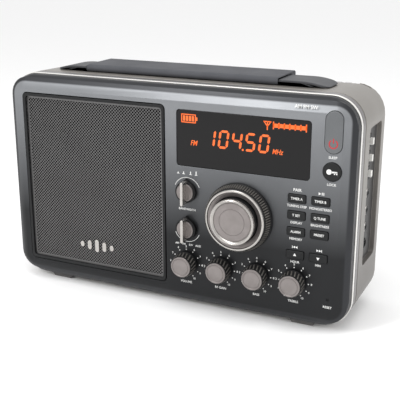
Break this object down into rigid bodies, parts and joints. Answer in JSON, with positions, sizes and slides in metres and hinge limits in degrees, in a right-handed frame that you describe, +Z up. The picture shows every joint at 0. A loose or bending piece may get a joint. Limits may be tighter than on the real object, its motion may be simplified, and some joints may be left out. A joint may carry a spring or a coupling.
{
  "type": "shortwave receiver",
  "caption": "Field shortwave receiver with speaker grille, dark display, coarse and fine tuning knob, level knobs, keys, lift-up handle and telescopic antenna.",
  "frame": {"origin": "on the surface the radio stands on, under the middle of its bounding box", "axes": "+Z up, front panel faces -Y, +X to the right seen from the front"},
  "size_m": [0.35, 0.1164, 0.2184],
  "materials": {
    "panel_gunmetal": "satin gunmetal lacquer",
    "frame_grey": "satin grey paint",
    "case_taupe": "fine satin taupe",
    "mesh_metal": "dark perforated steel",
    "bright_metal": "brushed, bright",
    "steel": "satin",
    "cone_paper": "black pulp paper",
    "ferrite": "matt sintered grey",
    "display_black": "gloss black window",
    "black_plastic": "satin black",
    "key_black": "satin black keys with pale legends",
    "knob_rubber": "ribbed black rubber",
    "knob_metal": "satin taupe anodised",
    "board": "green solder resist",
    "tab_white": "satin white",
    "strap_rubber": "fine matt grain",
    "foot_rubber": "matt",
    "chrome": "polished"
  },
  "bodies": {
    "radio": {"front_cabinet": "panel_gunmetal", "middle_frame": "frame_grey", "rear_cabinet": "case_taupe", "grille_frame": "panel_gunmetal", "grille_mesh": "mesh_metal", "grille_badge": "bright_metal", "speaker_basket": "steel", "speaker_cone": "cone_paper", "speaker_magnet": "ferrite", "display_window": "display_black", "lcd_module": "black_plastic", "tuning_encoder": "steel", "bandwidth_switch": "steel", "band_switch": "steel", "control_board": "board", "main_board": "board", "side_board": "board", "dc_jack": "black_plastic", "battery_tray": "black_plastic", "ferrite_rod": "ferrite", "volume_pot": "steel", "rf_gain_pot": "steel", "bass_pot": "steel", "treble_pot": "steel", "headphone_jack": "black_plastic", "line_in_jack": "black_plastic", "line_out_jack": "black_plastic", "foot_front_left": "foot_rubber", "foot_front_right": "foot_rubber", "foot_rear_left": "foot_rubber", "foot_rear_right": "foot_rubber"},
    "tuning_ring": {"tuning_ring": "knob_rubber"},
    "tuning_knob": {"tuning_knob": "knob_metal"},
    "volume_knob": {"volume_knob": "knob_rubber"},
    "rf_gain_knob": {"rf_gain_knob": "knob_rubber"},
    "bass_knob": {"bass_knob": "knob_rubber"},
    "treble_knob": {"treble_knob": "knob_rubber"},
    "bandwidth_knob": {"bandwidth_knob": "bright_metal"},
    "band_knob": {"band_knob": "bright_metal"},
    "power_button": {"power_button": "panel_gunmetal"},
    "lock_button": {"lock_button": "key_black"},
    "key_pair": {"key_pair": "key_black"},
    "key_play": {"key_play": "key_black"},
    "key_step": {"key_step": "key_black"},
    "key_stereo": {"key_stereo": "key_black"},
    "key_display": {"key_display": "key_black"},
    "key_brightness": {"key_brightness": "key_black"},
    "key_back": {"key_back": "key_black"},
    "key_forward": {"key_forward": "key_black"},
    "reset_button": {"reset_button": "black_plastic"},
    "slide_switch_upper": {"slide_switch_upper": "tab_white"},
    "slide_switch_middle": {"slide_switch_middle": "tab_white"},
    "slide_switch_lower": {"slide_switch_lower": "tab_white"},
    "battery_cover": {"battery_cover": "case_taupe"},
    "handle": {"handle_strap": "strap_rubber", "handle_grip": "strap_rubber"},
    "antenna_base": {"antenna_base": "chrome"},
    "antenna_mast": {"antenna_mast": "chrome"},
    "antenna_middle": {"antenna_middle": "chrome"},
    "antenna_tip": {"antenna_tip": "chrome"}
  },
  "joints": [
    {"name": "tuning_ring_turn", "type": "hinge", "parent": "radio", "child": "tuning_ring", "pos_m": [0.07241, -0.03975, 0.09806], "axis": [0, 1, 0], "continuous": true},
    {"name": "tuning_knob_turn", "type": "hinge", "parent": "radio", "child": "tuning_knob", "pos_m": [0.07241, -0.03975, 0.09806], "axis": [0, 1, 0], "continuous": true},
    {"name": "volume_turn", "type": "hinge", "parent": "radio", "child": "volume_knob", "pos_m": [0.01976, -0.03975, 0.04549], "axis": [0, 1, 0], "range_deg": [-150, 150]},
    {"name": "rf_gain_turn", "type": "hinge", "parent": "radio", "child": "rf_gain_knob", "pos_m": [0.05486, -0.03975, 0.04549], "axis": [0, 1, 0], "range_deg": [-150, 150]},
    {"name": "bass_turn", "type": "hinge", "parent": "radio", "child": "bass_knob", "pos_m": [0.08996, -0.03975, 0.04549], "axis": [0, 1, 0], "range_deg": [-150, 150]},
    {"name": "treble_turn", "type": "hinge", "parent": "radio", "child": "treble_knob", "pos_m": [0.12506, -0.03975, 0.04549], "axis": [0, 1, 0], "range_deg": [-150, 150]},
    {"name": "bandwidth_turn", "type": "hinge", "parent": "radio", "child": "bandwidth_knob", "pos_m": [0.02099, -0.03975, 0.1154], "axis": [0, 1, 0], "range_deg": [-60, 60]},
    {"name": "band_turn", "type": "hinge", "parent": "radio", "child": "band_knob", "pos_m": [0.02099, -0.03975, 0.08], "axis": [0, 1, 0], "range_deg": [-60, 60]},
    {"name": "power_button_press", "type": "slide", "parent": "radio", "child": "power_button", "axis": [0, 1, 0], "range_m": [0, 0.001], "stiffness_N_per_m": 700, "springref_m": -0.0004},
    {"name": "lock_button_press", "type": "slide", "parent": "radio", "child": "lock_button", "axis": [0, 1, 0], "range_m": [0, 0.001], "stiffness_N_per_m": 600, "springref_m": -0.0004},
    {"name": "key_pair_press", "type": "slide", "parent": "radio", "child": "key_pair", "axis": [0, 1, 0], "range_m": [0, 0.001], "stiffness_N_per_m": 600, "springref_m": -0.0004},
    {"name": "key_play_press", "type": "slide", "parent": "radio", "child": "key_play", "axis": [0, 1, 0], "range_m": [0, 0.001], "stiffness_N_per_m": 600, "springref_m": -0.0004},
    {"name": "key_step_press", "type": "slide", "parent": "radio", "child": "key_step", "axis": [0, 1, 0], "range_m": [0, 0.001], "stiffness_N_per_m": 600, "springref_m": -0.0004},
    {"name": "key_stereo_press", "type": "slide", "parent": "radio", "child": "key_stereo", "axis": [0, 1, 0], "range_m": [0, 0.001], "stiffness_N_per_m": 600, "springref_m": -0.0004},
    {"name": "key_display_press", "type": "slide", "parent": "radio", "child": "key_display", "axis": [0, 1, 0], "range_m": [0, 0.001], "stiffness_N_per_m": 600, "springref_m": -0.0004},
    {"name": "key_brightness_press", "type": "slide", "parent": "radio", "child": "key_brightness", "axis": [0, 1, 0], "range_m": [0, 0.001], "stiffness_N_per_m": 600, "springref_m": -0.0004},
    {"name": "key_back_press", "type": "slide", "parent": "radio", "child": "key_back", "axis": [0, 1, 0], "range_m": [0, 0.001], "stiffness_N_per_m": 600, "springref_m": -0.0004},
    {"name": "key_forward_press", "type": "slide", "parent": "radio", "child": "key_forward", "axis": [0, 1, 0], "range_m": [0, 0.001], "stiffness_N_per_m": 600, "springref_m": -0.0004},
    {"name": "reset_button_press", "type": "slide", "parent": "radio", "child": "reset_button", "axis": [0, 1, 0], "range_m": [0, 0.001], "stiffness_N_per_m": 300, "springref_m": -0.0004},
    {"name": "upper_switch_slide", "type": "slide", "parent": "radio", "child": "slide_switch_upper", "axis": [0, 0, 1], "range_m": [0, 0.0036]},
    {"name": "middle_switch_slide", "type": "slide", "parent": "radio", "child": "slide_switch_middle", "axis": [0, 0, 1], "range_m": [0, 0.0036]},
    {"name": "lower_switch_slide", "type": "slide", "parent": "radio", "child": "slide_switch_lower", "axis": [0, 0, 1], "range_m": [0, 0.0036]},
    {"name": "battery_cover_open", "type": "hinge", "parent": "radio", "child": "battery_cover", "pos_m": [0, 0.05825, 0.0165], "axis": [-1, 0, 0], "range_deg": [0, 90]},
    {"name": "handle_lift", "type": "slide", "parent": "radio", "child": "handle", "axis": [0, 0, 1], "range_m": [0, 0.015]},
    {"name": "antenna_swivel", "type": "hinge", "parent": "radio", "child": "antenna_base", "pos_m": [-0.152, 0.05125, 0.203], "axis": [0, 0, 1], "range_deg": [0, 180]},
    {"name": "antenna_tilt", "type": "hinge", "parent": "antenna_base", "child": "antenna_mast", "pos_m": [-0.152, 0.05125, 0.2066], "axis": [0, -1, 0], "range_deg": [0, 100]},
    {"name": "antenna_middle_pull", "type": "slide", "parent": "antenna_mast", "child": "antenna_middle", "axis": [1, 0, 0], "range_m": [0, 0.25]},
    {"name": "antenna_tip_pull", "type": "slide", "parent": "antenna_middle", "child": "antenna_tip", "axis": [1, 0, 0], "range_m": [0, 0.25]}
  ]
}
